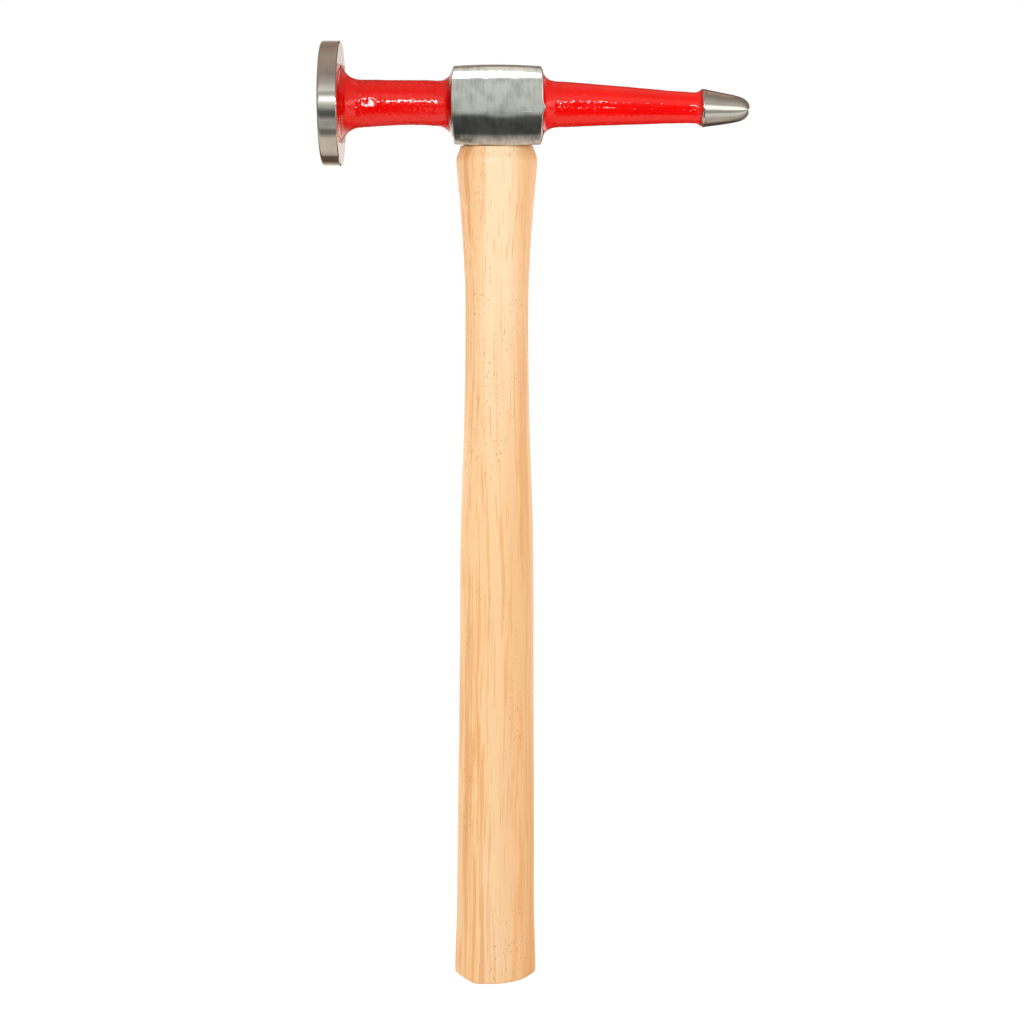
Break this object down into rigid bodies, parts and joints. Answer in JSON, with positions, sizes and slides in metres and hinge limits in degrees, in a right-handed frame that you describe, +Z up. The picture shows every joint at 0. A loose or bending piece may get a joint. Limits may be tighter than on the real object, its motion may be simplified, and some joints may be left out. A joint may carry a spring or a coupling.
{
  "type": "panel beating pick hammer",
  "caption": "Sheet-metal pick hammer: forged head with a round flat face and a long blunt pick, wedged on a straight hickory handle.",
  "frame": {"origin": "middle of the flat butt of the handle", "axes": "+Z up the handle to the head, +X along the pick, and the round face looks along -X"},
  "size_m": [0.1394, 0.04, 0.3191],
  "materials": {
    "red_enamel": "gloss red enamel over forged steel",
    "bare_steel": "ground bright",
    "hickory": "clear lacquer, grain along the handle",
    "wedge_hardwood": "sawn, end grain showing"
  },
  "bodies": {
    "root": {"head": "red_enamel", "handle": "hickory", "wood_wedge": "wedge_hardwood", "steel_wedge_face_side": "bare_steel", "steel_wedge_pick_side": "bare_steel"}
  },
  "joints": []
}
